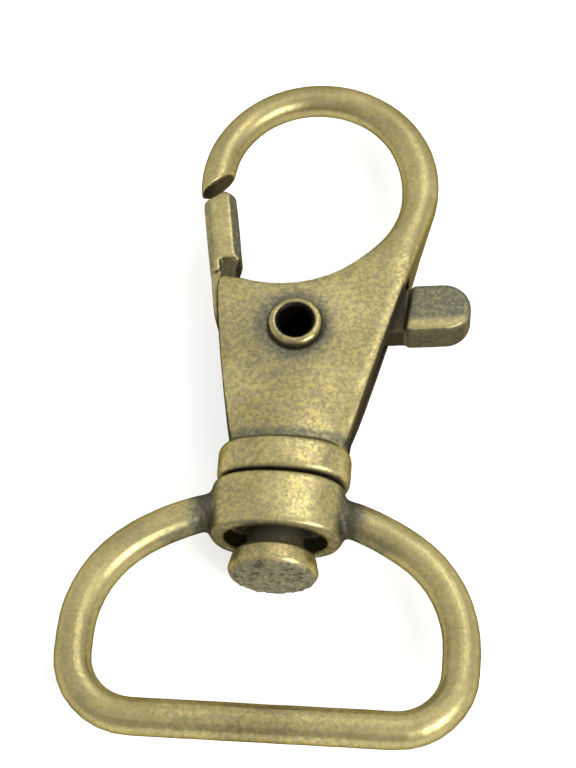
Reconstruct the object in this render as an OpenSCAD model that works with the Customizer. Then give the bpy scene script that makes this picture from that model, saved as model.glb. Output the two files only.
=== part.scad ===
// Swivel snap hook for a 25 mm strap: a cast hook with a sprung gate lever,
// a hollow pivot rivet, and a D-ring that turns on a headed stud.
// All sizes are in millimetres. X runs across the hook, Y along it towards the loop, Z up.
// Each sub-part is drawn about the swivel axis (X = 0), the pivot's height (Y = 0)
// and the mid-plane (Z = 0), and place() then moves it to the row's own origin.

/* [Loop] */
// Depth of the round loop, front to back
wire_d = 2.6; // [2.3:0.05:3.1]
// Diameter over the outside of the loop
loop_d = 19.1; // [18.4:0.1:20]
// Height of the outside circle's centre above the pivot
loop_rise = 13.95; // [13.5:0.05:14.6]
// Sideways place of the outside circle's centre from the swivel axis
loop_shift = 1.3; // [0.9:0.1:1.7]
// Inner diameter of the loop
eye_d = 13.3; // [12.8:0.1:13.7]
// Height of the inner circle's centre above the outside one's
eye_up = 0.35; // [0.1:0.05:0.6]
// Distance of the inner circle's centre to the left of the outside one's
eye_left = 0.25; // [0:0.05:0.4]
// Angle on the loop at which its round wire begins
wire_from = 25; // [15:1:35]
// Angle of the slanted cut at the loop's tip
tip_slant = 40; // [36:1:46]
// Height of the tip's outer corner above the pivot
tip_rise = 12.5; // [12.2:0.05:13.4]

/* [Body] */
// Height of the lowest point of the arch above the pivot
arch_rise = 3.65; // [3.45:0.05:4]
// Sideways place of the pivot from the swivel axis
pivot_shift = 0.4; // [0:0.1:0.8]
// Distance from the pivot down to the collar
base_drop = 9.8; // [9.4:0.1:11.5]
// Width of the body where it meets the collar
base_w = 8.9; // [8.6:0.1:9.6]
// Sideways place of the body's lower end from the swivel axis
base_shift = 0.5; // [0.2:0.05:0.7]
// Depth of the body where it meets the collar
base_d = 6.2; // [5.8:0.1:6.6]
// Distance from the swivel axis to the left shoulder
shoulder_x = 6.1; // [5.8:0.1:6.6]
// Height of the left shoulder above the pivot
shoulder_rise = 4.2; // [3.9:0.1:4.6]
// Depth of the body at the shoulder
shoulder_d = 5.2; // [4.9:0.1:5.6]
// Outward swell of the left side
side_swell = 0.16; // [0:0.02:0.3]
// Rounding of the body's long edges
edge_r = 0.4; // [0.3:0.05:0.8]
// How far the faces curve back to their edges at the collar, as a share of the way round an ellipse
crown = 0.82; // [0.5:0.02:0.84]
// Height over which that curve fades out
crown_rise = 7; // [4:0.5:8]
// Width of the slot between the cheeks
slot_w = 2.5; // [2.4:0.05:2.7]

/* [Collar and hub] */
// Width of the collar band
collar_w = 10.1; // [9.9:0.1:11]
// Sideways place of the collar band from the swivel axis
collar_shift = 0.25; // [0:0.05:0.4]
// Depth of the collar band and of the hub
collar_d = 7.4; // [7:0.1:8.2]
// Length of the collar band along the hook
collar_h = 2.75; // [2:0.05:3.2]
// Width of the hub
hub_w = 10.1; // [9.6:0.1:10.6]
// Length of the hub along the hook
hub_h = 4.45; // [4.2:0.05:5]
// Width of the hollow in the hub's lower end
recess_w = 7.7; // [7.4:0.1:8]
// Depth of the opening of that hollow, front to back
recess_d = 5.8; // [5.5:0.1:6]
// How far the hollow reaches into the hub
recess_h = 1.6; // [1.2:0.1:2]
// Rounding of the band's and the hub's ends
band_r = 0.55; // [0.3:0.05:0.7]

/* [Swivel stud] */
// Diameter of the neck that the hub turns on
neck_d = 4.2; // [3.8:0.1:4.6]
// Diameter of the button head
head_d = 6.75; // [6.4:0.05:7.2]
// Diameter of the head's upper end
head_top_d = 6.3; // [6:0.05:6.4]
// Thickness of the button head
head_h = 2; // [1.6:0.05:2.4]
// Rounding of the head's outer rim
head_r = 0.7; // [0.5:0.05:1]
// Free space between the hub and the head
head_gap = 0.95; // [0.6:0.05:1.4]
// Diameter of the tenon inside the collar
tenon_d = 2.4; // [2.2:0.1:2.6]
// Length of the spread tail in the slot
tail_w = 4.2; // [3.6:0.1:4.8]
// Height of the spread tail
tail_h = 0.8; // [0.6:0.1:1]

/* [Gate lever] */
// Play of the lever's web on each side in the slot
web_play = 0.1; // [0.05:0.01:0.15]
// Depth of the gate and of the thumb tab
gate_d = 3.2; // [2.9:0.1:3.5]
// Thickness of the gate in the plane of the hook
gate_w = 2.6; // [2.4:0.05:2.8]
// Height above the pivot at which the thick part of the gate begins
gate_rise = 5.95; // [5.8:0.05:6.4]
// Gap between the gate and the tip of the loop
gate_gap = 1.2; // [0.6:0.05:1.4]
// How far the gate's outer corner stands out past the tip's, along the gap
gate_proud = 0.5; // [0.2:0.05:0.7]
// How far the lever stands out past the body at the left shoulder
rail_proud = 0.45; // [0.3:0.05:0.5]
// How much further out the foot of the gate lies
foot_out = 0.35; // [0.2:0.05:0.5]
// Thickness of the rail that runs down from the gate's outer side
rail_w = 0.85; // [0.75:0.05:0.95]
// How far the rail's full depth runs down past the foot of the gate
rail_len = 1; // [0.8:0.05:1.1]
// Rounding of the gate's and the tab's edges
gate_r = 0.45; // [0.35:0.05:0.7]
// Distance from the swivel axis to the end of the thumb tab
tab_reach = 13.8; // [13:0.1:15]
// Width of the thumb tab
tab_w = 4.1; // [3.6:0.1:4.3]
// Height of the tab's middle above the pivot at its root
tab_rise = 2.3; // [2.1:0.05:2.5]
// Upward slant of the tab
tab_slant = 5; // [2:1:7]
// Distance from the swivel axis at which the tab gets its full depth
tab_from = 8.9; // [8.85:0.05:9.3]
// How far the upper corner of the tab's root lies out past the lower one
root_step = 0.6; // [0.4:0.05:0.8]
// Radius of the lever's boss round the rivet
boss_r = 3.3; // [3.1:0.05:3.4]
// Angle the lever turns through when the gate opens
gate_open = 44; // [30:1:45]

/* [Pivot rivet] */
// Outer diameter of the rivet's tube
rivet_d = 3.1; // [2.9:0.05:3.3]
// Wall of the rivet's tube
rivet_wall = 0.3; // [0.25:0.05:0.4]
// Diameter across the rolled rim
rim_d = 4.25; // [4:0.05:4.6]
// Height of the rolled rim over its seat
rim_h = 0.65; // [0.5:0.05:0.8]
// Depth of the flat seat below the body's face
seat_sink = 0.1; // [0.08:0.01:0.15]

/* [Spring] */
// Thickness of the spring wire
spring_wire = 0.42; // [0.35:0.01:0.45]
// Turns of the coil
spring_turns = 2; // [1:1:2]
// Length of the leg that drives the lever, from the coil's middle
drive_leg = 2.7; // [2.5:0.1:2.8]

/* [D-ring] */
// Inner width of the ring, for the strap
strap_w = 25.4; // [24:0.1:28]
// Thickness of the ring's wire
ring_wire = 2.8; // [2.4:0.1:3.2]
// Height of the ring's arch over its widest place
ring_arch = 10.85; // [10.4:0.05:12]
// Radius of the arch's side arcs
side_arc_r = 9.4; // [9:0.1:10]
// Length of the straight sides
side_len = 1.5; // [0.6:0.1:4]
// Radius of the lower corners, to the middle of the wire
corner_r = 4.6; // [3.6:0.1:5.4]
// Distance from the hub's upper end down to the top of the arch's centre line
arm_drop = 1.5; // [1.3:0.05:1.7]

/* [Clearances] */
// Radial play of the lever on the rivet and of the hub on the stud
turn_play = 0.05; // [0.02:0.01:0.08]
// Radial room of fixed shanks in their holes
snug = 0.02; // [0.01:0.01:0.04]
// Gap between the collar and the hub
hub_gap = 0.1; // [0.05:0.01:0.2]

/* [Hidden] */
eps = 0.01;
big = 30;
fine = 96;
round_fn = 24;

// Loop
loop_c = [loop_shift, loop_rise];
loop_out_r = loop_d/2;
eye_c = loop_c + [-eye_left, eye_up];
eye_r = eye_d/2;
// Centre and radius of the arch, which runs into the loop's inner circle at wire_from
arch_r = (eye_c.y + eye_r*sin(wire_from) - arch_rise)/(1 + sin(wire_from));
arch_c = eye_c - (arch_r - eye_r)*[cos(wire_from), sin(wire_from)];
// Outer corner of the tip, on the loop's outer circle
tip_p = [loop_shift - sqrt(pow(loop_out_r, 2) - pow(loop_rise - tip_rise, 2)), tip_rise];
tip_dir = [cos(tip_slant), sin(tip_slant)];
tip_low = [tip_dir.y, -tip_dir.x];

// Body sides
base_y = -base_drop;
base_left = base_shift - base_w/2;
base_right = base_shift + base_w/2;
// Straight right side, tangent to the loop's outer circle
reach = loop_c - [base_right, base_y];
side_a = atan2(reach.y, reach.x) - asin(loop_out_r/norm(reach));
side_dir = [cos(side_a), sin(side_a)];
side_out = [side_dir.y, -side_dir.x];
function side_x(y) = base_right + (y - base_y)*side_dir.x/side_dir.y;
// Left side, a flat arc from the collar to the shoulder
left_len = shoulder_rise - base_y;
function left_x(y) = base_left + (y - base_y)/left_len*(-shoulder_x - base_left)
    - side_swell*sin(180*(y - base_y)/left_len);
// Half depth of the body at height y
function half_d(y) = (base_d + (y - base_y)/left_len*(shoulder_d - base_d))/2;
// The same at the point p, where the face curves back towards the edges near the collar
function face_d(p) = let (
    mid = (left_x(p.y) + side_x(p.y))/2,
    off = (p.x - mid)/(side_x(p.y) - mid)*crown*(1 - ease((p.y - base_y)/crown_rise)))
    half_d(p.y)*sqrt(1 - min(1, off*off));
pivot = [pivot_shift, 0];
seat_z = half_d(0) - seat_sink;
// Where the slot stops below the arm, as angles about the arch's centre
slot_stop = [-39.5, -35.6];

// Swivel stack, from the pivot down
collar_end = base_y - collar_h;
hub_top = collar_end - hub_gap;
hub_end = hub_top - hub_h;
head_top = hub_end - head_gap;
head_end = head_top - head_h;

// Gate lever
web_d = slot_w - 2*web_play;
gate_top = tip_p + gate_gap*tip_low - gate_proud*tip_dir;
gate_foot = [left_x(shoulder_rise) - rail_proud - foot_out, gate_rise];
gate_dir = (gate_top - gate_foot)/norm(gate_top - gate_foot);
gate_in = [gate_dir.y, -gate_dir.x];
gate_slant = tip_slant - 1;
tab_dir = [cos(tab_slant), sin(tab_slant)];
tab_up = [-tab_dir.y, tab_dir.x];

// Spring, in a pocket of the web's upper side
coil_r = rivet_d/2 + turn_play + spring_wire/2 + 0.18;
pocket_r = coil_r + spring_wire/2 + 0.2;
pocket_floor = -0.45;
coil_pitch = spring_wire + 0.03;
coil_z = pocket_floor + spring_wire/2 + 0.04;
leg_channel = spring_wire + 0.2;
turn_steps = 20;

// D-ring, three-centre arch with straight sides and round corners
ring_half = strap_w/2 + ring_wire/2;
side_arc_c = ring_half - side_arc_r;
arch_drop = (pow(side_arc_c, 2) - pow(ring_arch - side_arc_r, 2))/(2*(ring_arch - side_arc_r));
top_arc_r = ring_arch + arch_drop;
wide_y = hub_top - arm_drop - ring_arch;
join_a = atan2(arch_drop, side_arc_c);
arm_a = 90 - asin((hub_w/2 - 1.2)/top_arc_r);
corner_y = wide_y - side_len;
bar_y = corner_y - corner_r;

// Row frame: the origin is under the middle of the whole hook
top_y = loop_rise + loop_out_r;
low_y = bar_y - ring_wire/2;
pivot_y = -(top_y + low_y)/2;
axis_z = collar_d/2;

brass = [0.60, 0.54, 0.33];
dark_brass = [0.50, 0.45, 0.28];
steel = [0.55, 0.55, 0.53];

module place() {
    translate([0, pivot_y, axis_z]) children();
}

// Closed skin over a list of rings, each a list of the same number of points
module skin(rings) {
    n = len(rings[0]);
    last = len(rings) - 1;
    walls = [for (k = [0:last - 1], i = [0:n - 1], half = [0, 1])
        let (j = (i + 1)%n)
        half == 0 ? [k*n + i, k*n + j, (k + 1)*n + j] : [k*n + i, (k + 1)*n + j, (k + 1)*n + i]];
    caps = [[for (i = [n - 1:-1:0]) i], [for (i = [0:n - 1]) last*n + i]];
    polyhedron([for (ring = rings) each ring], concat(walls, caps));
}

// Oval outline, slightly fuller than an ellipse
function oval(a, b, n = 40) = [for (i = [0:n - 1])
    let (t = 360*i/n, c = cos(t), s = sin(t))
    [a*sign(c)*pow(abs(c), 0.88), b*sign(s)*pow(abs(s), 0.88)]];

// Oval barrel along Y from y0 down to y1, with both ends rounded
module barrel(w, d, y0, y1, r) {
    steps = 3;
    // each station is its distance from the end and how much the outline is drawn in there
    ends = [for (s = [0:steps]) let (t = 90*s/steps) [r*(1 - cos(t)), r*(1 - sin(t))]];
    stations = concat(
        [for (s = [0:steps]) [y1 + ends[s][0], ends[s][1]]],
        [for (s = [steps:-1:0]) [y0 - ends[s][0], ends[s][1]]]);
    skin([for (st = stations) [for (p = oval(w/2 - st[1], d/2 - st[1])) [p.x, st[0], p.y]]]);
}

// Cylinder along Y from y0 down to y1
module rod_y(d, y0, y1) {
    translate([0, y0, 0]) rotate([90, 0, 0]) cylinder(d = d, h = y0 - y1, $fn = fine);
}

// Hook body
//
// The casting is one skin of rings. Each ring runs across the form from its left or inner edge
// to its right or outer edge, and back underneath. The rings start level at the collar, fan
// round the left shoulder and the arch, and then follow the arm and the loop to the tip.

edge_steps = 4;
face_steps = 11;
top_points = 2*(edge_steps + 1) + face_steps - 1;
// Shares of an edge's rounding at which a ring has its points
drawn = [for (j = [0:edge_steps]) 1 - cos(90*j/edge_steps)];
// Shares of a round section's width at which a ring has its points
round_at = [for (j = [0:top_points - 1]) (1 - cos(180*j/(top_points - 1)))/2];
// Shares of a flat face's width at which a ring has its points, closer together at the edges
face_at = [for (j = [1:face_steps - 1]) mix(j/face_steps, (1 - cos(180*j/face_steps))/2, 0.6)];
// Distances from the inner side at which a flat section w wide, its edges rounded by r, has its points
function flat_at(w, r) = concat(
    [for (d = drawn) r*d],
    [for (share = face_at) r + (w - 2*r)*share],
    [for (j = [edge_steps:-1:0]) w - r*drawn[j]]);

function ease(t) = let (u = max(0, min(1, t))) u*u*(3 - 2*u);
function mix(a, b, t) = a + (b - a)*t;
function polar(c, r, a) = c + r*[cos(a), sin(a)];

// Height of the face over the mid-plane, d away from an edge rounded by r, at half depth h
function rounded(h, r, d) = d >= r ? h : h - r + sqrt(max(0, r*r - pow(r - d, 2)));

// Middle of the left shoulder's rounding, which touches the left side and the arch
shoulder_c = let (x = edge_r - shoulder_x)
    [x, arch_c.y - sqrt(pow(arch_r + edge_r, 2) - pow(x - arch_c.x, 2))];
shoulder_a = atan2(arch_c.y - shoulder_c.y, arch_c.x - shoulder_c.x);
left_a = atan2(left_len, base_left + shoulder_x);

// Distances of a point from the left side, the arch and the right side
function from_left(p) = (p.x - left_x(p.y))*sin(left_a);
function from_arch(p) = norm(p - arch_c) - arch_r;
function from_right(p) = -(p - [base_right, base_y])*side_out;
function from_edge(p) = let (v = p - shoulder_c, a = atan2(v.y, v.x))
    (a > shoulder_a && a < 179.9 ? edge_r - norm(v) : min(from_left(p), from_arch(p)));

// How far along the direction dir from p the arch is r away
function arch_step(p, dir, r) = let (q = p - arch_c, along = q*dir)
    sqrt(max(0, along*along - q*q + pow(arch_r + r, 2))) - along;
function left_step(p, dir, r) = (r - from_left(p))/(dir.x*sin(left_a));

// Ring of the slab between the left edge at p and the right edge at q
function slab_ring(p, q) =
    let (dir = (q - p)/norm(q - p),
        step_p = max(left_step(p, dir, edge_r), arch_step(p, dir, edge_r)),
        step_q = edge_r/(dir*side_out),
        width = norm(q - p),
        pts = concat(
            [for (d = drawn) p + d*step_p*dir],
            [for (share = face_at) p + mix(step_p, width - step_q, share)*dir],
            [for (j = [edge_steps:-1:0]) q - drawn[j]*step_q*dir]),
        top = [for (v = pts) [v.x, v.y, rounded(face_d(v), edge_r, min(from_edge(v), from_right(v)))]])
    ring_of(top);

// Closed ring from the points of its upper side
function ring_of(top) = concat([for (i = [len(top) - 1:-1:0]) top[i]], [for (p = top) [p.x, p.y, -p.z]]);

// Distance from the arch's centre to the outer side, in the direction a
function outer_hit(a) =
    let (d = [cos(a), sin(a)],
        q = [base_right, base_y] - arch_c,
        on_line = cross(q, side_dir)/cross(d, side_dir),
        rel = loop_c - arch_c,
        on_loop = rel*d + sqrt(pow(rel*d, 2) - rel*rel + pow(loop_out_r, 2)),
        touch_y = loop_rise + loop_out_r*side_out.y)
    arch_c.y + on_line*d.y < touch_y ? on_line : on_loop;

// Ring of the arm in the direction a from the arch's centre; t is 0 at the slab and 1 at the round wire
function arm_ring(a, t) =
    let (far = outer_hit(a),
        half_w = (far - arch_r)/2,
        half_t = mix(half_d((arch_c.y + far*sin(a) + arch_c.y + arch_r*sin(a))/2), wire_d/2, t),
        flat = flat_at(2*half_w, edge_r))
    ring_of([for (j = [0:top_points - 1])
        let (d = mix(flat[j], 2*half_w*round_at[j], t), v = polar(arch_c, arch_r + d, a),
            edge = rounded(mix(half_d(v.y), half_t, min(1, 4*t)), edge_r, min(d, 2*half_w - d)),
            round_edge = half_t*sqrt(max(0, 1 - pow(d/half_w - 1, 2))))
        [v.x, v.y, mix(edge, round_edge, t)]]);

// Ring of the round loop in the direction a from the eye's centre
function loop_ring(a) =
    let (d = [cos(a), sin(a)],
        rel = loop_c - eye_c,
        wide = rel*d + sqrt(pow(rel*d, 2) - rel*rel + pow(loop_out_r, 2)) - eye_r)
    ring_of([for (share = round_at) let (v = polar(eye_c, eye_r + wide*share, a))
        [v.x, v.y, wire_d*sqrt(max(0, share*(1 - share)))]]);

arm_from = -50;
fan_from = shoulder_a - 180;
rings_from = base_y - 1;
fan_right = -4.6;
arm_right = arch_c.y + outer_hit(arm_from)*sin(arm_from);

slab_rings = concat(
    // left side, from the collar up
    [for (s = [0:8]) let (yl = mix(rings_from, shoulder_c.y, s/8), yr = mix(rings_from, fan_right - 0.5, s/8))
        slab_ring([left_x(yl), yl], [side_x(yr), yr])],
    // left shoulder
    [for (s = [1:4]) let (yr = mix(fan_right - 0.5, fan_right, s/4))
        slab_ring(polar(shoulder_c, edge_r, mix(180, shoulder_a, s/4)), [side_x(yr), yr])],
    // arch
    [for (s = [1:8]) let (yr = mix(fan_right, arm_right, s/9))
        slab_ring(polar(arch_c, arch_r, mix(fan_from, arm_from, s/9)), [side_x(yr), yr])]);

arm_steps = 15;
loop_steps = 30;
arm_rings = [for (s = [0:arm_steps]) arm_ring(mix(arm_from, wire_from, s/arm_steps), ease(s/(arm_steps - 1.5)))];
loop_rings = [for (s = [1:loop_steps]) loop_ring(mix(wire_from, 195, s/loop_steps))];

module hook_form() {
    difference() {
        skin(concat(slab_rings, arm_rings, loop_rings));
        // slanted face of the tip
        translate([tip_p.x, tip_p.y, 0]) rotate([0, 0, tip_slant])
            translate([-3*wire_d, -3*wire_d, -big/2]) cube([6*wire_d, 3*wire_d, big]);
    }
}

// Slot between the cheeks, open to both sides and to the arch
module slot_cut() {
    stop = [for (i = [0, 1]) arch_c + (i == 0 ? arch_r - 3 : outer_hit(slot_stop[i]) + 3)
        *[cos(slot_stop[i]), sin(slot_stop[i])]];
    translate([0, 0, -slot_w/2]) linear_extrude(slot_w)
        polygon([[-big/2, base_y], [big/2, base_y], [big/2, 0], stop[1], stop[0], [-big/2, stop[0].y]]);
}

module hook_body() color(brass) place() difference() {
    union() {
        hook_form();
        translate([collar_shift, 0, 0]) barrel(collar_w, collar_d, base_y, collar_end, band_r);
    }
    slot_cut();
    // holes for the rivet, with a flat seat on each face
    translate([pivot.x, pivot.y, -big/2]) cylinder(d = rivet_d + 2*snug, h = big, $fn = fine);
    for (side = [0, 1]) mirror([0, 0, side])
        translate([pivot.x, pivot.y, seat_z]) cylinder(d = rim_d + 0.5, h = 2, $fn = fine);
    // hole for the stud's tenon
    rod_y(tenon_d + 2*snug, base_y + 1, collar_end - 1);
}

// Pivot rivet

module pivot_rivet() color(brass) place() translate([pivot.x, pivot.y, 0]) {
    in_r = rivet_d/2 - rivet_wall;
    half = seat_z + eps;
    roll_r = (rim_d/2 - in_r)/2;
    mid_r = in_r + roll_r;
    steps = 8;
    crest = [for (s = [0:steps]) let (t = 180*s/steps) [mid_r + roll_r*cos(t), half + 0.1 + (rim_h - 0.1)*sin(t)]];
    side = concat([[rivet_d/2, half], [rim_d/2, half]], crest);
    rotate_extrude($fn = fine) polygon(concat(side,
        [for (i = [len(side) - 1:-1:0]) [side[i].x, -side[i].y]]));
}

// Swivel stud

module swivel_stud() color(dark_brass) place() {
    steps = 6;
    rim = [for (s = [0:steps]) let (t = 90*s/steps)
        [head_d/2 - head_r + head_r*cos(t), head_end + head_r - head_r*sin(t)]];
    lip = 0.35;
    rotate([-90, 0, 0]) rotate_extrude($fn = fine) polygon([for (p = concat(
        [[0, base_y], [tenon_d/2, base_y], [tenon_d/2, collar_end - eps], [neck_d/2, collar_end - eps],
         [neck_d/2, head_top], [head_top_d/2 - lip, head_top], [head_top_d/2, head_top - lip]],
        rim, [[0, head_end]])) p]);
    // tail, spread along the slot so that it holds the stud in the collar
    intersection() {
        rod_y(tail_w, base_y + tail_h, base_y + eps);
        translate([-big/2, -big/2, -web_d/2]) cube([big, big, web_d]);
    }
    rod_y(tenon_d, base_y + tail_h/2, base_y - 0.5);
}

// Gate lever

module gate() {
    r = gate_r;
    z = gate_d/2 - r;
    inner_top = gate_top + (gate_w - 0.55)*[cos(gate_slant), sin(gate_slant)];
    corners = [
        gate_foot + r*(gate_dir + gate_in),
        gate_foot + (gate_w - r)*gate_in + r*gate_dir,
        gate_top + r*(gate_in*0.95 - gate_dir*0.45),
        inner_top + r*[0, -1.25],
        gate_foot + (gate_w - r)*gate_in + (norm(gate_top - gate_foot) + 0.1)*gate_dir];
    hull() for (p = corners, side = [-1, 1]) translate([p.x, p.y, side*z]) sphere(r = r, $fn = round_fn);
}

// Rail down the gate's outer side, which stands out past the body's shoulder
module rail() {
    depth = gate_d - 0.2;
    inset = 0.03;
    overlap = 1.3;
    chamfer = 0.2;
    top = gate_foot + inset*gate_in + overlap*gate_dir;
    end = top - (overlap + rail_len)*gate_dir;
    translate([0, 0, -depth/2]) linear_extrude(depth) polygon([
        end + chamfer*gate_in,
        end + (rail_w - chamfer)*gate_in,
        end + rail_w*gate_in + chamfer*gate_dir,
        top + rail_w*gate_in,
        top,
        end + chamfer*gate_dir]);
}

tab_root = [tab_from, tab_rise + (tab_from - side_x(tab_rise))*tab_dir.y/tab_dir.x];

module tab() {
    r = gate_r;
    z = gate_d/2 - r;
    tip_r = tab_w/2;
    tip = tab_root + (tab_reach - tip_r - tab_from)/tab_dir.x*tab_dir;
    hull() {
        for (up = [-1, 1], side = [-1, 1]) {
            p = tab_root + (r + up*root_step/2)*tab_dir + up*(tab_w/2 - r)*tab_up;
            translate([p.x, p.y, side*z]) sphere(r = r, $fn = round_fn);
        }
        for (side = [-1, 1]) translate([tip.x, tip.y, side*z])
            rotate_extrude($fn = 2*round_fn) translate([tip_r - r, 0]) circle(r = r, $fn = round_fn);
    }
}

// Thin web in the slot: the boss, the arm of the gate and the arm of the tab
module web_outline() {
    inset = 0.12;
    tab_low = tab_root - (tab_w/2 - inset)*tab_up;
    tab_high = tab_root + (tab_w/2 - inset)*tab_up;
    translate(pivot) circle(r = boss_r, $fn = fine);
    polygon([
        pivot + [0, -boss_r],
        [left_x(-2.5) + 0.05, -2.5],
        [left_x(0), 0],
        [left_x(shoulder_rise/2) - rail_proud*0.9, shoulder_rise/2],
        [left_x(shoulder_rise) - rail_proud, shoulder_rise],
        gate_foot + inset*gate_in + 1.2*gate_dir,
        gate_foot + (gate_w - inset)*gate_in + 1.2*gate_dir,
        gate_foot + (gate_w - inset)*gate_in,
        gate_foot + (gate_w - 0.5)*gate_in - 0.9*gate_dir,
        gate_foot + (gate_w - 0.5)*gate_in - 2.7*gate_dir,
        pivot + boss_r*[cos(120), sin(120)],
        pivot]);
    polygon([
        pivot + [0, -boss_r],
        tab_low - 2.6*tab_dir,
        tab_low + tab_dir,
        tab_high + (1 + root_step/2)*tab_dir,
        pivot + boss_r*[cos(75), sin(75)],
        pivot]);
}

// Pocket for the coil, channel for the leg that drives the lever, and the sector in which the
// other leg stands while the lever turns
module spring_pocket() {
    up = web_d/2 - pocket_floor + 1;
    translate([pivot.x, pivot.y, pocket_floor]) {
        cylinder(r = pocket_r, h = up, $fn = fine);
        translate([coil_r - leg_channel/2, 0, 0]) cube([leg_channel, drive_leg + spring_wire/2, up]);
        linear_extrude(up) polygon([
            [coil_r - 0.4, 0.9],
            [coil_r - 0.4, -9],
            [coil_r + 0.5, 0.9] + 14*[cos(gate_open - 88), sin(gate_open - 88)],
            [coil_r + 0.5, 0.9]]);
    }
}

module gate_lever() color(brass) place() difference() {
    union() {
        gate();
        rail();
        tab();
        difference() {
            translate([0, 0, -web_d/2]) linear_extrude(web_d) web_outline();
            spring_pocket();
        }
    }
    translate([pivot.x, pivot.y, -big/2]) cylinder(r = rivet_d/2 + turn_play, h = big, $fn = fine);
}

// Torsion spring

// From the tip of the leg in the lever, down the coil's right side, round the coil,
// and straight down to the leg's end beside the stud's tail
spring_path = concat(
    [[coil_r, drive_leg, coil_z]],
    [for (i = [0:turn_steps*spring_turns]) let (t = -360*i/turn_steps)
        [coil_r*cos(t), coil_r*sin(t), coil_z + coil_pitch*i/turn_steps]],
    [[coil_r, base_y + tail_h/2, coil_z + coil_pitch*spring_turns]]);

// Round wire along a list of points
module wire_along(path, d, sides = 8) {
    last = len(path) - 1;
    function heading(i) = let (v = path[min(i + 1, last)] - path[max(i - 1, 0)]) v/norm(v);
    skin([for (i = [0:last])
        let (f = heading(i), side = cross([0, 0, 1], f)/norm(cross([0, 0, 1], f)), up = cross(f, side))
        [for (k = [0:sides - 1]) let (t = 360*k/sides)
            path[i] + d/2*(cos(t)*side - sin(t)*up)]]);
}

module torsion_spring() color(steel) place() translate([pivot.x, pivot.y, 0]) {
    wire_along(spring_path, spring_wire);
}

// D-ring

// Right half of the ring's centre line, from inside the hub's wall down to the middle of the bar
ring_steps = 8;
half_line = concat(
    [for (s = [0:ring_steps]) polar([0, wide_y - arch_drop], top_arc_r, mix(arm_a, join_a, s/ring_steps))],
    [for (s = [1:ring_steps]) polar([side_arc_c, wide_y], side_arc_r, mix(join_a, 0, s/ring_steps))],
    [for (s = [0:ring_steps]) polar([ring_half - corner_r, corner_y], corner_r, -90*s/ring_steps)]);

module ring_wire_form() {
    line = concat(half_line, [for (i = [len(half_line) - 1:-1:0]) [-half_line[i].x, half_line[i].y]]);
    wire_along([for (p = line) [p.x, p.y, 0]], ring_wire, 18);
}

module d_ring() color(brass) place() difference() {
    union() {
        ring_wire_form();
        barrel(hub_w, collar_d, hub_top, hub_end, band_r);
    }
    rod_y(neck_d + 2*turn_play, hub_top + 1, hub_end - 1);
    translate([0, hub_end + recess_h, 0]) rotate([90, 0, 0])
        linear_extrude(recess_h + 1) polygon(oval(recess_w/2, recess_d/2));
}

hook_body();
pivot_rivet();
swivel_stud();
torsion_spring();
gate_lever();
d_ring();
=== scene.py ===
import math

import bpy
from mathutils import Matrix, Vector


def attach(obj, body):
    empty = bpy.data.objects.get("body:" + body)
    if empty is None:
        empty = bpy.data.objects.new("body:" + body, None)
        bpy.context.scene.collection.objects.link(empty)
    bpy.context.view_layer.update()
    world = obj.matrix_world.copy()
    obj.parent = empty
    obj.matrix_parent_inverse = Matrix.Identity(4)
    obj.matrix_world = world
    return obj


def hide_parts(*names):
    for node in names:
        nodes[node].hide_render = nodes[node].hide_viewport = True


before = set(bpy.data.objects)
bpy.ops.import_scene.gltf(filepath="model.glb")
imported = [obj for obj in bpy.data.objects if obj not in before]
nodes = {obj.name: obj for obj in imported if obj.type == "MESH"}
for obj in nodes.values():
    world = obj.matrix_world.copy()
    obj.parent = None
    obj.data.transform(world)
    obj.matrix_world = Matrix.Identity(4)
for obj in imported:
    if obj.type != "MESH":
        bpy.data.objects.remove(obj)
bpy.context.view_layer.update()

mm = 0.001

# places on the hook that several pieces and finishes share, in millimetres
places = {
    "pivot": (0.4, 4.5),
    "axisHeight": 3.7,
    "bodyMiddle": 1.5,
    "collarTop": -5.3,
    "hubMiddle": -10.4,
    "hubEnd": -12.6,
    "headTop": -13.55,
    "headEnd": -15.55,
    "loopTip": (-6.6, 17.4),
    "cheekCorner": (-5.95, 9.5),
    "tabMiddle": (9.7, 6.6),
    "tabSlope": 0.087,
}

# how a copy of a casting is merged and smoothed
skinValues = {"mergeWithin": 0.002, "smoothStep": 0.5}

print("loaded the frame:", sorted(nodes))


# general helpers

def deselectAll():
    if bpy.context.object and bpy.context.object.mode != "OBJECT":
        bpy.ops.object.mode_set(mode="OBJECT")
    bpy.ops.object.select_all(action="DESELECT")


def selectOnly(piece):
    deselectAll()
    piece.select_set(True)
    bpy.context.view_layer.objects.active = piece


def applyAll(piece):
    selectOnly(piece)
    for modifier in list(piece.modifiers):
        bpy.ops.object.modifier_apply(modifier=modifier.name)


def copyOfNode(nodeName, pieceName):
    # a loose copy of a casting's mesh, with its doubles merged
    piece = bpy.data.objects.new(pieceName, nodes[nodeName].data.copy())
    bpy.context.scene.collection.objects.link(piece)
    piece.data.materials.clear()
    selectOnly(piece)
    bpy.ops.object.mode_set(mode="EDIT")
    bpy.ops.mesh.select_all(action="SELECT")
    bpy.ops.mesh.remove_doubles(threshold=skinValues["mergeWithin"] * mm)
    bpy.ops.object.mode_set(mode="OBJECT")
    return piece


def smooth(piece, iterations, zone=""):
    smoothing = piece.modifiers.new("smoothing", "SMOOTH")
    smoothing.factor = skinValues["smoothStep"]
    smoothing.iterations = iterations
    smoothing.vertex_group = zone


def evenSkin(piece, voxel, smoothing):
    # one skin of even faces, its hard corners slightly rounded
    remesh = piece.modifiers.new("evenSkin", "REMESH")
    remesh.mode = "VOXEL"
    remesh.voxel_size = voxel * mm
    remesh.adaptivity = 0
    smooth(piece, smoothing)
    applyAll(piece)


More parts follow.
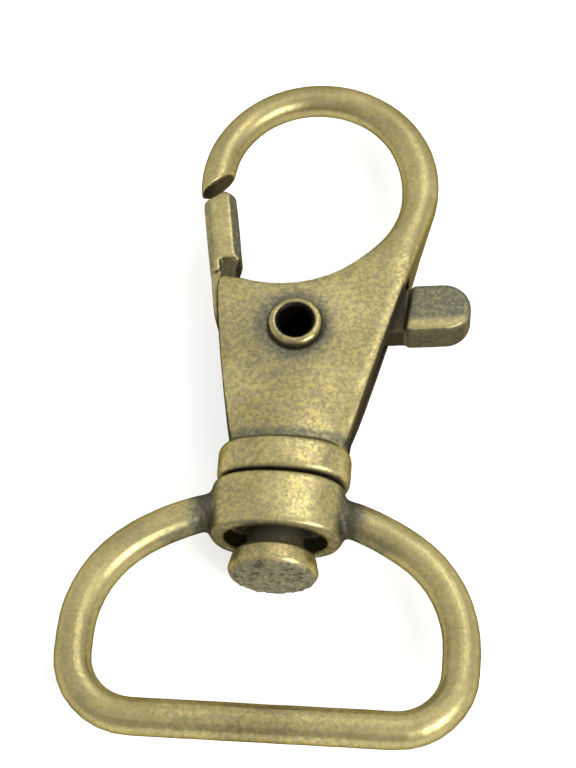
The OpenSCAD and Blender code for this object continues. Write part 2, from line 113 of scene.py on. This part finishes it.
def weightZone(piece, name, weightAt):
    # a vertex group whose weight follows the place and the normal of each point
    group = piece.vertex_groups.new(name=name)
    for vertex in piece.data.vertices:
        weight = weightAt(vertex.co / mm, vertex.normal)
        if weight > 0:
            group.add([vertex.index], weight, "REPLACE")
    return name


def smoothZone(piece, name, weightAt, iterations):
    # irons or rounds one place and leaves the rest of the piece sharp
    smooth(piece, iterations, weightZone(piece, name, weightAt))
    applyAll(piece)


def fade(away, reach, over=1.0):
    # 1 well within reach, 0 beyond it
    return max(0.0, min(1.0, (reach - away) / over))


def waves(piece, size, height, zone=""):
    # slight unevenness, as cast or hammered
    texture = bpy.data.textures.new(piece.name + "Waves", "CLOUDS")
    texture.noise_scale = size * mm
    texture.noise_depth = 1
    uneven = piece.modifiers.new("uneven", "DISPLACE")
    uneven.texture = texture
    uneven.texture_coords = "LOCAL"
    uneven.mid_level = 0.5
    uneven.strength = height * mm
    uneven.vertex_group = zone
    applyAll(piece)


def finishPiece(piece, body, nodeName, material):
    selectOnly(piece)
    bpy.ops.object.shade_smooth()
    piece.data.materials.clear()
    piece.data.materials.append(material)
    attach(piece, body)
    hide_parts(nodeName)
    nodes[nodeName].data.materials.clear()
    nodes[nodeName].data.materials.append(material)
    print(piece.name, "has", len(piece.data.polygons), "faces")


# helpers for the finishes

def addNode(tree, kind, settings=None, sockets=None):
    node = tree.nodes.new(kind)
    for key, value in (settings or {}).items():
        setattr(node, key, value)
    for key, value in (sockets or {}).items():
        if isinstance(value, bpy.types.NodeSocket):
            tree.links.new(value, node.inputs[key])
        else:
            node.inputs[key].default_value = value
    return node


def newMaterial(name):
    material = bpy.data.materials.new(name)
    material.use_nodes = True
    return material, material.node_tree, material.node_tree.nodes["Principled BSDF"]


def maths(tree, operation, a, b=0.0, clamp=False):
    settings = {"operation": operation, "use_clamp": clamp}
    return addNode(tree, "ShaderNodeMath", settings, {0: a, 1: b}).outputs[0]


def times(tree, *factors):
    product = factors[0]
    for factor in factors[1:]:
        product = maths(tree, "MULTIPLY", product, factor)
    return product


def ramp(tree, value, low, high, toLow=0.0, toHigh=1.0):
    return addNode(tree, "ShaderNodeMapRange", {"interpolation_type": "SMOOTHSTEP"}, {
        "Value": value, "From Min": low, "From Max": high, "To Min": toLow, "To Max": toHigh}).outputs[0]


def mixColour(tree, factor, a, b):
    return addNode(tree, "ShaderNodeMix", {"data_type": "RGBA"}, {0: factor, 6: a, 7: b}).outputs[2]


def noise(tree, where, size, detail=2.0, roughness=0.5):
    return addNode(tree, "ShaderNodeTexNoise", {}, {
        "Vector": where, "Scale": 1.0 / (size * mm), "Detail": detail, "Roughness": roughness}).outputs[0]


def occlusion(tree, reach, inside=False, samples=8):
    return addNode(tree, "ShaderNodeAmbientOcclusion", {"samples": samples, "inside": inside},
                   {"Distance": reach * mm}).outputs["AO"]


def partOf(tree, vector, axis):
    return addNode(tree, "ShaderNodeSeparateXYZ", {}, {0: vector}).outputs[axis]


def normalPart(tree, axis):
    # how far the surface faces along an axis of the piece, from -1 to 1
    return partOf(tree, addNode(tree, "ShaderNodeTexCoord").outputs["Normal"], axis)


def placeAlong(tree, where, axis, bothSides=False):
    place = partOf(tree, where, axis)
    return maths(tree, "ABSOLUTE", place) if bothSides else place


def along(tree, where, axis, low, high, toLow=0.0, toHigh=1.0, bothSides=False):
    # from toLow to toHigh between two places along an axis
    return ramp(tree, placeAlong(tree, where, axis, bothSides), low * mm, high * mm, toLow, toHigh)


def nearLevel(tree, where, axis, level, near, far, bothSides=False):
    # 1 within near of a level along an axis, 0 beyond far
    offset = maths(tree, "SUBTRACT", placeAlong(tree, where, axis, bothSides), level * mm)
    return ramp(tree, maths(tree, "ABSOLUTE", offset), near * mm, far * mm, 1.0, 0.0)


def nearAxis(tree, where, axis, centre, near, far):
    # 1 within near of a line along an axis, 0 beyond far
    keep = {"X": (0, 1, 1), "Y": (1, 0, 1), "Z": (1, 1, 0)}[axis]
    off = addNode(tree, "ShaderNodeVectorMath", {"operation": "SUBTRACT"},
                  {0: where, 1: [c * mm for c in centre]}).outputs[0]
    flat = addNode(tree, "ShaderNodeVectorMath", {"operation": "MULTIPLY"}, {0: off, 1: keep}).outputs[0]
    away = addNode(tree, "ShaderNodeVectorMath", {"operation": "LENGTH"}, {0: flat}).outputs["Value"]
    return ramp(tree, away, near * mm, far * mm, 1.0, 0.0)


# antique plating, the finish of all the castings

antique = {
    # colours
    "gold": (0.500, 0.412, 0.165, 1),
    "olive": (0.285, 0.258, 0.128, 1),
    "tan": (0.385, 0.300, 0.185, 1),
    "plain": (0.415, 0.355, 0.160, 1),
    "worn": (0.740, 0.660, 0.400, 1),
    # the tarnish colour also paints shade, at the places where a stain is painted shade
    "tarnishAndShade": (0.135, 0.135, 0.098, 1),
    "black": (0.044, 0.036, 0.024, 1),
    "dullEdge": (0.14, 0.12, 0.09, 1),
    # sizes of the patterns and reach of the hollows, in millimetres
    "grain": 0.24,
    "clump": 0.40,
    "blush": 0.52,
    "pits": 0.144,
    "mottle": 1.1,
    "patch": 5.0,
    "hollowReach": 1.6,
    "creviceReach": 0.5,
    "edgeReach": 0.35,
    "bump": 0.011,
    # where each pattern starts and is full, and how strong it gets
    "speckleSpan": (0.38, 0.62),
    "blushSpan": (0.53, 0.66),
    "blushStrength": 0.7,
    "patchSpan": (0.35, 0.65),
    "patchShade": (0.86, 1.10),
    "hollowSpan": (0.92, 0.45),
    "tarnishSpan": (0.35, 0.65),
    "tarnishShare": (1.1, 0.7),
    "creviceSpan": (0.72, 0.30),
    "pitSpan": (0.62, 0.74),
    "pitStrength": 0.4,
    "thinSpan": (0.80, 0.45),
    "wear": 0.75,
    "wearSpan": (0.35, 0.6),
    "wearShare": (0.5, 1.0),
    # gloss
    "roughness": 0.38,
    "tarnishRoughness": 0.16,
    "blackRoughness": 0.2,
    "grainSpan": (0.3, 0.7),
    "grainRoughness": (0.07, -0.07),
    "bumpStrength": 0.7,
    "pitDepth": 0.6,
}


def antiqueMetal(name, tarnishedAndShaded=(), blackened=(), rubbed=None, changes=None):
    # mottled olive gold, tarnished in the hollows, black in the crevices, worn bright on the edges, with
    # painted shade at some of the given places
    look = dict(antique, **(changes or {}))
    material, tree, shader = newMaterial(name)
    where = addNode(tree, "ShaderNodeTexCoord").outputs["Object"]
    grain = noise(tree, where, look["grain"], 2.5, 0.6)
    clump = noise(tree, where, look["clump"], 2.0, 0.55)
    blush = noise(tree, where, look["blush"], 2.0, 0.6)
    pits = noise(tree, where, look["pits"], 2.0, 0.7)
    mottle = noise(tree, where, look["mottle"], 3.0, 0.6)
    patch = noise(tree, where, look["patch"])

    # mottled plating
    speckle = maths(tree, "ADD", times(tree, grain, 0.5), times(tree, clump, 0.5))
    base = mixColour(tree, ramp(tree, speckle, *look["speckleSpan"]), look["olive"], look["gold"])
    tanned = ramp(tree, blush, *look["blushSpan"], 0.0, look["blushStrength"])
    base = mixColour(tree, tanned, base, look["tan"])
    if rubbed:
        base = mixColour(tree, rubbed(tree, where), base, look["plain"])
    shade = ramp(tree, patch, *look["patchSpan"], *look["patchShade"])
    base = addNode(tree, "ShaderNodeVectorMath", {"operation": "SCALE"}, {0: base, "Scale": shade}).outputs[0]

    # grey-green tarnish in the hollows and round the given places; at some of these places it is painted
    # shade
    soft = ramp(tree, occlusion(tree, look["hollowReach"]), *look["hollowSpan"])
    for makeStain in tarnishedAndShaded:
        soft = maths(tree, "MAXIMUM", soft, makeStain(tree, where))
    share = ramp(tree, speckle, *look["tarnishSpan"], *look["tarnishShare"])
    soft = maths(tree, "MULTIPLY", soft, share, clamp=True)
    base = mixColour(tree, soft, base, look["tarnishAndShade"])

    # black in the crevices and at the given places, some of which are painted shade, and small dark pits
    deep = ramp(tree, occlusion(tree, look["creviceReach"]), *look["creviceSpan"])
    for makeStain in blackened:
        deep = maths(tree, "MAXIMUM", deep, makeStain(tree, where))
    deep = maths(tree, "MAXIMUM", deep, ramp(tree, pits, *look["pitSpan"], 0.0, look["pitStrength"]))
    base = mixColour(tree, deep, base, look["black"])

    # worn edges, found as places with little metal behind them
    thin = ramp(tree, occlusion(tree, look["edgeReach"], inside=True), *look["thinSpan"], 0.0, look["wear"])
    handled = ramp(tree, mottle, *look["wearSpan"], *look["wearShare"])
    clean = maths(tree, "SUBTRACT", 1.0, deep, clamp=True)
    base = mixColour(tree, times(tree, thin, handled, clean), base, look["worn"])
    tree.links.new(base, shader.inputs["Base Color"])

    # gloss
    shader.inputs["Metallic"].default_value = 1.0
    tree.links.new(mixColour(tree, deep, look["dullEdge"], look["black"]), shader.inputs["Specular Tint"])
    rough = maths(tree, "ADD", look["roughness"], times(tree, soft, look["tarnishRoughness"]))
    rough = maths(tree, "ADD", rough, times(tree, deep, look["blackRoughness"]))
    rough = maths(tree, "ADD", rough, ramp(tree, grain, *look["grainSpan"], *look["grainRoughness"]))
    tree.links.new(rough, shader.inputs["Roughness"])
    height = maths(tree, "ADD", grain, times(tree, pits, look["pitDepth"]))
    bump = addNode(tree, "ShaderNodeBump", {}, {
        "Strength": look["bumpStrength"], "Distance": look["bump"] * mm, "Height": height})
    tree.links.new(bump.outputs[0], shader.inputs["Normal"])
    return material


# stains, painted shade and rubbed places, each with its strength where it is full

strengths = {
    "loopWire": 0.55,
    "ringWire": 0.55,
    "rivetHalo": 1.05,
    "bodyShade": 0.40,
    "collarLine": 0.85,
    "bodySides": 0.8,
    "tipEnd": 0.85,
    "hubCorners": 0.5,
    "hubInside": 0.7,
    "hubEndFace": 0.65,
    "tabPatinaAndHighlight": 0.95,
    "gateOuter": 0.55,
    "tabLower": 0.8,
    "tabUnder": 0.45,
    "webInside": 0.85,
    "headEndFace": 0.8,
    "endPits": 0.6,
    "neckShade": 0.75,
}


def loopWire(tree, where):
    # the loop is handled more than the body, so its mottling is fainter
    return along(tree, where, "Y", 9.0, 14.0, 0.0, strengths["loopWire"])


def ringWire(tree, where):
    return along(tree, where, "X", 5.5, 9.0, 0.1, strengths["ringWire"], bothSides=True)


def rivetHalo(tree, where):
    x, y = places["pivot"]
    halo = nearAxis(tree, where, "Z", (x - 0.2, y - 0.2, 0), near=2.3, far=4.0)
    return times(tree, halo, strengths["rivetHalo"])


def bodyShade(tree, where):
    # darker and greyer round the rivet's left and lower side
    x, y = places["pivot"]
    shade = nearAxis(tree, where, "Z", (x - 1.2, y - 0.8, 0), near=2.2, far=6.0)
    return times(tree, shade, strengths["bodyShade"])


def collarLine(tree, where):
    line = nearLevel(tree, where, "Y", places["collarTop"] + 0.3, near=0.15, far=0.75)
    return times(tree, line, strengths["collarLine"])


def slotInside(tree, where):
    # the walls of the slot are painted dark: patina where the polishing wheel never reaches, and painted
    # shade between the cheeks
    between = nearLevel(tree, where, "Z", places["axisHeight"], near=1.32, far=1.6)
    return times(tree, between, nearLevel(tree, where, "Y", places["bodyMiddle"], near=6.8, far=7.2))


def bodySides(tree, where):
    # the narrow sides of the two cheeks, between the edges, painted black: painted shade in the slot's
    # opening and on the rear cheek's side, with dark patina
    side = ramp(tree, maths(tree, "ABSOLUTE", normalPart(tree, "X")), 0.62, 0.80)
    level = nearLevel(tree, where, "Y", places["bodyMiddle"], near=6.5, far=7.5)
    depth = nearLevel(tree, where, "Z", places["axisHeight"], near=3.1, far=3.6)
    return times(tree, side, level, depth, strengths["bodySides"])


def tipEnd(tree, where):
    # the slanted end of the loop, facing the gate
    facing = ramp(tree, normalPart(tree, "Y"), -0.50, -0.70)
    low = along(tree, where, "Z", 5.2, 4.4, 0.1, strengths["tipEnd"])
    return times(tree, facing, low, nearAxis(tree, where, "Z", (*places["loopTip"], 0), near=1.7, far=2.2))


def rivetBore(tree, where):
    return nearAxis(tree, where, "Z", (*places["pivot"], 0), near=1.50, far=1.62)


def hubRoots(tree, where):
    side = nearLevel(tree, where, "X", 5.5, near=0.5, far=1.5, bothSides=True)
    return times(tree, side, nearLevel(tree, where, "Y", places["hubMiddle"], near=1.8, far=2.8))


def hubCorners(tree, where):
    side = nearLevel(tree, where, "X", 5.35, near=0.2, far=0.8, bothSides=True)
    level = nearLevel(tree, where, "Y", places["hubMiddle"], near=1.6, far=2.4)
    return times(tree, side, level, strengths["hubCorners"])


def hubInside(tree, where):
    # hollow in the hub's lower end, painted dark: painted shade inside the hollow, with dark patina
    hollow = nearAxis(tree, where, "Y", (0, 0, places["axisHeight"]), near=2.75, far=2.95)
    level = nearLevel(tree, where, "Y", places["hubEnd"] + 1.0, near=0.85, far=1.0)
    return times(tree, hollow, level, strengths["hubInside"])


def hubEndFace(tree, where):
    # the lip round the hollow, turned away from the light
    facing = ramp(tree, normalPart(tree, "Y"), -0.45, -0.85)
    level = nearLevel(tree, where, "Y", places["hubEnd"], near=0.4, far=0.8)
    return times(tree, facing, level, strengths["hubEndFace"])


def onTheTab(tree, where):
    return along(tree, where, "X", 6.5, 7.5)


def tabPatinaAndHighlight(tree, where):
    # darker patina on the tab's upper part, leaving its lower strip bright as a painted highlight
    x, y = places["tabMiddle"]
    slope = places["tabSlope"]
    slanted = maths(tree, "SUBTRACT", partOf(tree, where, "Y"), times(tree, partOf(tree, where, "X"), slope))
    middle = y - slope * x
    upper = ramp(tree, slanted, (middle - 1.0) * mm, (middle - 0.3) * mm, 0.15, strengths["tabPatinaAndHighlight"])
    return times(tree, upper, onTheTab(tree, where))


def leverSides(tree, where):
    # painted shade on the chamfers of the gate and on the tab's lower side
    inner = ramp(tree, normalPart(tree, "X"), 0.30, 0.60)
    outer = ramp(tree, normalPart(tree, "X"), -0.40, -0.70, 0.0, strengths["gateOuter"])
    gate = times(tree, maths(tree, "MAXIMUM", inner, outer), along(tree, where, "X", -3.5, -4.0))
    under = ramp(tree, normalPart(tree, "Y"), -0.4, -0.7, 0.0, strengths["tabLower"])
    return maths(tree, "MAXIMUM", gate, times(tree, under, onTheTab(tree, where)))


def tabUnder(tree, where):
    # painted shade on the tab's lower side
    under = ramp(tree, normalPart(tree, "Y"), -0.5, -0.8, 0.0, strengths["tabUnder"])
    return times(tree, under, onTheTab(tree, where))


def webInside(tree, where):
    # the lever's web, from the notch under the gate to the tab's root, painted dark: painted shadow cast by
    # the cheeks, with dark patina
    depth = nearLevel(tree, where, "Z", places["axisHeight"], near=1.5, far=1.65)
    below = along(tree, where, "Y", 11.0, 10.6)
    between = times(tree, along(tree, where, "X", -6.0, -5.8), along(tree, where, "X", 8.9, 8.6))
    return times(tree, depth, below, between, strengths["webInside"])


def headEndFace(tree, where):
    level = along(tree, where, "Y", places["headEnd"] + 0.35, places["headEnd"] + 0.1)
    return times(tree, level, strengths["headEndFace"])


def endPits(tree, where):
    # hammer marks on the stud's closed end hold dirt
    level = along(tree, where, "Y", places["headEnd"] + 0.40, places["headEnd"] + 0.20)
    marks = noise(tree, where, 0.55, 3.0, 0.7)
    return times(tree, level, ramp(tree, marks, 0.49, 0.66, 0.0, strengths["endPits"]))


def neckShade(tree, where):
    top = places["headTop"]
    return along(tree, where, "Y", top - 0.1, top + 0.15, 0.0, strengths["neckShade"])


castingMetal = antiqueMetal("castingMetal", tarnishedAndShaded=[rivetHalo, bodyShade, collarLine],
                            blackened=[slotInside, bodySides, tipEnd], rubbed=loopWire)
ringMetal = antiqueMetal("ringMetal", tarnishedAndShaded=[hubRoots, hubEndFace],
                         blackened=[hubInside, hubCorners], rubbed=ringWire)
leverMetal = antiqueMetal("leverMetal", tarnishedAndShaded=[tabPatinaAndHighlight, leverSides], blackened=[webInside, tabUnder],
                          changes={"gold": (0.490, 0.410, 0.172, 1), "olive": (0.350, 0.308, 0.145, 1)})
rivetMetal = antiqueMetal("rivetMetal", blackened=[rivetBore],
                          changes={"roughness": 0.32, "black": (0.022, 0.018, 0.015, 1)})
studMetal = antiqueMetal("studMetal", tarnishedAndShaded=[headEndFace], blackened=[neckShade, endPits],
                         changes={"roughness": 0.42, "tarnishAndShade": (0.24, 0.24, 0.19, 1)})


# drawn steel, the finish of the spring

drawnSteel = {"dark": (0.16, 0.16, 0.15, 1), "light": (0.42, 0.41, 0.39, 1), "streak": 0.12,
              "streakSpan": (0.3, 0.7), "roughness": (0.28, 0.42)}


def steelWire(name):
    material, tree, shader = newMaterial(name)
    where = addNode(tree, "ShaderNodeTexCoord").outputs["Object"]
    streaks = noise(tree, where, drawnSteel["streak"], 3.0, 0.6)
    base = mixColour(tree, streaks, drawnSteel["dark"], drawnSteel["light"])
    tree.links.new(base, shader.inputs["Base Color"])
    rough = ramp(tree, streaks, *drawnSteel["streakSpan"], *drawnSteel["roughness"])
    tree.links.new(rough, shader.inputs["Roughness"])
    shader.inputs["Metallic"].default_value = 1.0
    return material


springSteel = steelWire("springSteel")
print("made the finishes")


# hook casting, lengths in millimetres

hookValues = {
    "voxel": 0.126,
    "smoothing": 4,
    "ironing": 60,
    "tipRounding": 14,
    "cornerRounding": 140,
    "waveSize": 2.2,
    "waveHeight": 0.04,
    "flatFrom": 0.75,     # least upward part of a normal on the broad faces
    "loopFrom": 11.0,
    "collarRoom": 0.4,
    "seatRadius": 2.7,
    "tipReach": 2.6,
    "cornerReach": 2.2,
    "cheekBack": 0.3,
    "cheekFrom": 2.5,
    "cheekLow": -5.2,
    "cheekHigh": 9.0,
    "fadeLow": 1.5,
    "fadeHigh": 3.0,
    "rearDepth": 0.9,
    "fadeDeep": 0.6,
}


def onTheFace(place, normal):
    # the broad faces of the body, away from the rivet's seat and the edges
    v = hookValues
    onTheBody = places["collarTop"] + v["collarRoom"] <= place.y <= v["loopFrom"]
    if abs(normal.z) < v["flatFrom"] or not onTheBody:
        return 0
    x, y = places["pivot"]
    return 0 if math.hypot(place.x - x, place.y - y) < v["seatRadius"] else 1


def roundTheTip(place, normal):
    # the loop's cut end is rubbed round at its edges
    x, y = places["loopTip"]
    return fade(math.hypot(place.x - x, place.y - y), hookValues["tipReach"])


def roundTheCorner(place, normal):
    # the cheeks' upper corner beside the gate
    x, y = places["cheekCorner"]
    return fade(math.hypot(place.x - x, place.y - y), hookValues["cornerReach"])


def drawInRearCheek(piece, v):
    # the rear cheek stands back a little from the front one
    for vertex in piece.data.vertices:
        x, y, z = vertex.co / mm
        if x < v["cheekFrom"] or not v["cheekLow"] < y < v["cheekHigh"]:
            continue
        share = min(1.0, (y - v["cheekLow"]) / v["fadeLow"], (v["cheekHigh"] - y) / v["fadeHigh"])
        depth = fade(z, places["axisHeight"] - v["rearDepth"], v["fadeDeep"])
        vertex.co.x -= v["cheekBack"] * share * depth * mm


hookCasting = copyOfNode("hook_body", "hookCasting")
evenSkin(hookCasting, hookValues["voxel"], hookValues["smoothing"])
smoothZone(hookCasting, "broadFaces", onTheFace, hookValues["ironing"])
smoothZone(hookCasting, "loopTip", roundTheTip, hookValues["tipRounding"])
smoothZone(hookCasting, "cheekCorner", roundTheCorner, hookValues["cornerRounding"])
drawInRearCheek(hookCasting, hookValues)
waves(hookCasting, hookValues["waveSize"], hookValues["waveHeight"])
finishPiece(hookCasting, "hook", "hook_body", castingMetal)

# ring casting

ringValues = {
    "voxel": 0.13,
    "smoothing": 5,
    "rootSmoothing": 60,
    "waveSize": 2.6,
    "waveHeight": 0.05,
    "rootAt": 5.15,
    "rootReach": 1.1,
    "rootLow": -13.5,
    "rootHigh": -8.6,
}


def armRoots(place, normal):
    # where the arms leave the hub, so that smoothing fills the corner
    v = ringValues
    away = abs(abs(place.x) - v["rootAt"])
    return max(0.0, 1.0 - away / v["rootReach"]) if v["rootLow"] < place.y < v["rootHigh"] else 0


ringCasting = copyOfNode("d_ring", "ringCasting")
evenSkin(ringCasting, ringValues["voxel"], ringValues["smoothing"])
smoothZone(ringCasting, "armRoots", armRoots, ringValues["rootSmoothing"])
waves(ringCasting, ringValues["waveSize"], ringValues["waveHeight"])
finishPiece(ringCasting, "ring", "d_ring", ringMetal)

# lever casting

leverValues = {
    "voxel": 0.09,
    "firstSmoothing": 1,
    "smoothing": 4,
    "waveSize": 1.8,
    "waveHeight": 0.03,
    "gateMiddle": (-5.835, 12.0),
    "gateLean": -0.162,
    "gateRight": -3,
    "gateFrom": 9.3,
    "gateHalf": 1.6,
    "flatHalf": 0.72,
    "chamferSlope": 0.85,
}


def chamferGate(piece, v):
    # long chamfers down both sides of the gate, so that its outer side runs on into the rail
    middle = places["axisHeight"]
    for vertex in piece.data.vertices:
        x, y, z = vertex.co / mm
        if x > v["gateRight"] or y < v["gateFrom"]:
            continue
        across = x - v["gateMiddle"][0] - v["gateLean"] * (y - v["gateMiddle"][1])
        highest = v["gateHalf"] - max(0.0, abs(across) - v["flatHalf"]) * v["chamferSlope"]
        if abs(z - middle) > highest:
            vertex.co.z = (middle + math.copysign(highest, z - middle)) * mm


leverCasting = copyOfNode("gate_lever", "leverCasting")
evenSkin(leverCasting, leverValues["voxel"], leverValues["firstSmoothing"])
chamferGate(leverCasting, leverValues)
evenSkin(leverCasting, leverValues["voxel"], leverValues["smoothing"])
waves(leverCasting, leverValues["waveSize"], leverValues["waveHeight"])
finishPiece(leverCasting, "lever", "gate_lever", leverMetal)

# rivet

rivetValues = {"voxel": 0.055, "smoothing": 3, "waveSize": 0.9, "waveHeight": 0.05}
hollowRivet = copyOfNode("pivot_rivet", "hollowRivet")
evenSkin(hollowRivet, rivetValues["voxel"], rivetValues["smoothing"])
waves(hollowRivet, rivetValues["waveSize"], rivetValues["waveHeight"])
finishPiece(hollowRivet, "hook", "pivot_rivet", rivetMetal)

# stud

studValues = {
    "voxel": 0.08,
    "smoothing": 4,
    "waveSize": 1.5,
    "waveHeight": 0.05,
    "hammerSize": 0.45,
    "hammerHeight": 0.26,
    "hammerDepth": 0.5,
    "facingFrom": 0.6,    # the part of a normal that points out of the end, from here on
    "facingOver": 0.3,
}


def hammeredEnd(place, normal):
    v = studValues
    if place.y >= places["headEnd"] + v["hammerDepth"]:
        return 0
    return max(0.0, min(1.0, (-normal.y - v["facingFrom"]) / v["facingOver"]))


headedStud = copyOfNode("swivel_stud", "headedStud")
evenSkin(headedStud, studValues["voxel"], studValues["smoothing"])
waves(headedStud, studValues["waveSize"], studValues["waveHeight"])
hammered = weightZone(headedStud, "hammered", hammeredEnd)
waves(headedStud, studValues["hammerSize"], studValues["hammerHeight"], hammered)
finishPiece(headedStud, "hook", "swivel_stud", studMetal)

# spring, a round wire wound twice round the rivet's tube

springValues = {
    "wire": 0.42,
    "roundness": 3,
    "coilRadius": 1.99,
    "coilFloor": -0.2,
    "pitch": 0.45,
    "turns": 2,
    "steps": 40,
    "leverLeg": 2.7,
    "hookLeg": -9.4,
}


def springLine():
    v = springValues
    x, y = places["pivot"]
    points = [(v["coilRadius"], v["leverLeg"], v["coilFloor"])]
    for i in range(v["turns"] * v["steps"] + 1):
        angle = -2 * math.pi * i / v["steps"]
        points.append((v["coilRadius"] * math.cos(angle), v["coilRadius"] * math.sin(angle),
                       v["coilFloor"] + v["pitch"] * i / v["steps"]))
    points.append((v["coilRadius"], v["hookLeg"], v["coilFloor"] + v["pitch"] * v["turns"]))
    return [((px + x) * mm, (py + y) * mm, (pz + places["axisHeight"]) * mm) for px, py, pz in points]


deselectAll()
bpy.ops.curve.primitive_bezier_curve_add(location=(0, 0, 0))
springWire = bpy.context.object
springWire.name = "springWire"
springWire.data.splines.clear()
spline = springWire.data.splines.new("POLY")
line = springLine()
spline.points.add(len(line) - 1)
for point, place in zip(spline.points, line):
    point.co = (*place, 1)
springWire.data.bevel_depth = springValues["wire"] / 2 * mm
springWire.data.bevel_resolution = springValues["roundness"]
springWire.data.use_fill_caps = True
selectOnly(springWire)
bpy.ops.object.convert(target="MESH")
finishPiece(springWire, "hook", "torsion_spring", springSteel)


# floor

stageValues = {"size": 1.6, "colour": (0.80, 0.80, 0.795, 1), "lift": 0.64, "roughness": 0.9, "specular": 0.1}
deselectAll()
bpy.ops.mesh.primitive_plane_add(size=stageValues["size"], location=(0, 0, 0))
floor = bpy.context.object
floor.name = "floor"
floorPaint, floorTree, floorShader = newMaterial("floorPaint")
floorShader.inputs["Base Color"].default_value = stageValues["colour"]
floorShader.inputs["Roughness"].default_value = stageValues["roughness"]
floorShader.inputs["Specular IOR Level"].default_value = stageValues["specular"]
floorShader.inputs["Emission Color"].default_value = (1, 1, 1, 1)


def seenRays(tree):
    # 1 for what the camera sees, straight, in metal or through glass
    rays = addNode(tree, "ShaderNodeLightPath").outputs
    return maths(tree, "MAXIMUM", rays["Is Camera Ray"],
                 maths(tree, "MAXIMUM", rays["Is Glossy Ray"], rays["Is Transmission Ray"]))


floorTree.links.new(times(floorTree, seenRays(floorTree), stageValues["lift"]),
                    floorShader.inputs["Emission Strength"])
floor.data.materials.append(floorPaint)

# the room, white straight on, darker in front of the object than behind it

roomValues = {"frontFrom": -0.95, "frontTo": 0.0, "frontLevel": 0.48, "onTheObject": 0.5}
world = bpy.data.worlds.new("studio")
bpy.context.scene.world = world
world.use_nodes = True
worldTree = world.node_tree
background = worldTree.nodes["Background"]
background.inputs["Color"].default_value = (1, 1, 1, 1)
straight = addNode(worldTree, "ShaderNodeLightPath").outputs["Is Camera Ray"]
direction = addNode(worldTree, "ShaderNodeTexCoord").outputs["Generated"]
room = ramp(worldTree, partOf(worldTree, direction, "Y"), roomValues["frontFrom"], roomValues["frontTo"],
            roomValues["frontLevel"], 1.0)
seen = ramp(worldTree, seenRays(worldTree), 0.0, 1.0, roomValues["onTheObject"], 1.0)
worldTree.links.new(maths(worldTree, "MAXIMUM", times(worldTree, room, seen), straight),
                    background.inputs["Strength"])

# soft boxes, aimed at the middle of the hook

lampValues = {
    "keyLight": {"place": (0.28, -0.24, 0.26), "size": 0.19, "power": 1.3},
    "fillLight": {"place": (0.16, 0.20, 0.36), "size": 0.25, "power": 0.4},
}


def softBox(name, place, size, power):
    light = bpy.data.lights.new(name, "AREA")
    light.shape = "SQUARE"
    light.size = size
    light.energy = power
    lamp = bpy.data.objects.new(name, light)
    bpy.context.scene.collection.objects.link(lamp)
    lamp.location = place
    lamp.rotation_euler = Vector(place).to_track_quat("Z", "Y").to_euler()


for name, values in lampValues.items():
    softBox(name, **values)

# camera, its scale in pixels for each millimetre at the aim

cameraValues = {
    "elevation": 63.0,
    "azimuth": 9.0,
    "roll": -5.5,
    "distance": 170.0,
    "aim": (0.0, 0.6, 3.7),
    "scale": 13.0,
    "imageHeight": 768,
    "sensor": 36.0,
    "clipStart": 0.005,
    "clipEnd": 10,
}
elevation, azimuth, roll = (math.radians(cameraValues[k]) for k in ("elevation", "azimuth", "roll"))
level = math.cos(elevation)
back = Vector((math.sin(azimuth) * level, -math.cos(azimuth) * level, math.sin(elevation)))
right = Vector((0, 0, 1)).cross(back).normalized()
up = back.cross(right)
rightTurned = math.cos(roll) * right + math.sin(roll) * up
upTurned = math.cos(roll) * up - math.sin(roll) * right
cameraData = bpy.data.cameras.new("camera")
camera = bpy.data.objects.new("camera", cameraData)
bpy.context.scene.collection.objects.link(camera)
turned = Matrix((rightTurned, upTurned, back)).transposed().to_4x4()
stand = (Vector(cameraValues["aim"]) + cameraValues["distance"] * back) * mm
camera.matrix_world = Matrix.Translation(stand) @ turned
cameraData.sensor_width = cameraValues["sensor"]
frameHeight = cameraValues["imageHeight"] / cameraValues["scale"]
cameraData.lens = cameraValues["sensor"] * cameraValues["distance"] / frameHeight
cameraData.clip_start = cameraValues["clipStart"]
cameraData.clip_end = cameraValues["clipEnd"]
bpy.context.scene.camera = camera

bpy.context.scene.view_settings.view_transform = "Standard"
print("made the floor, the lights and the camera")
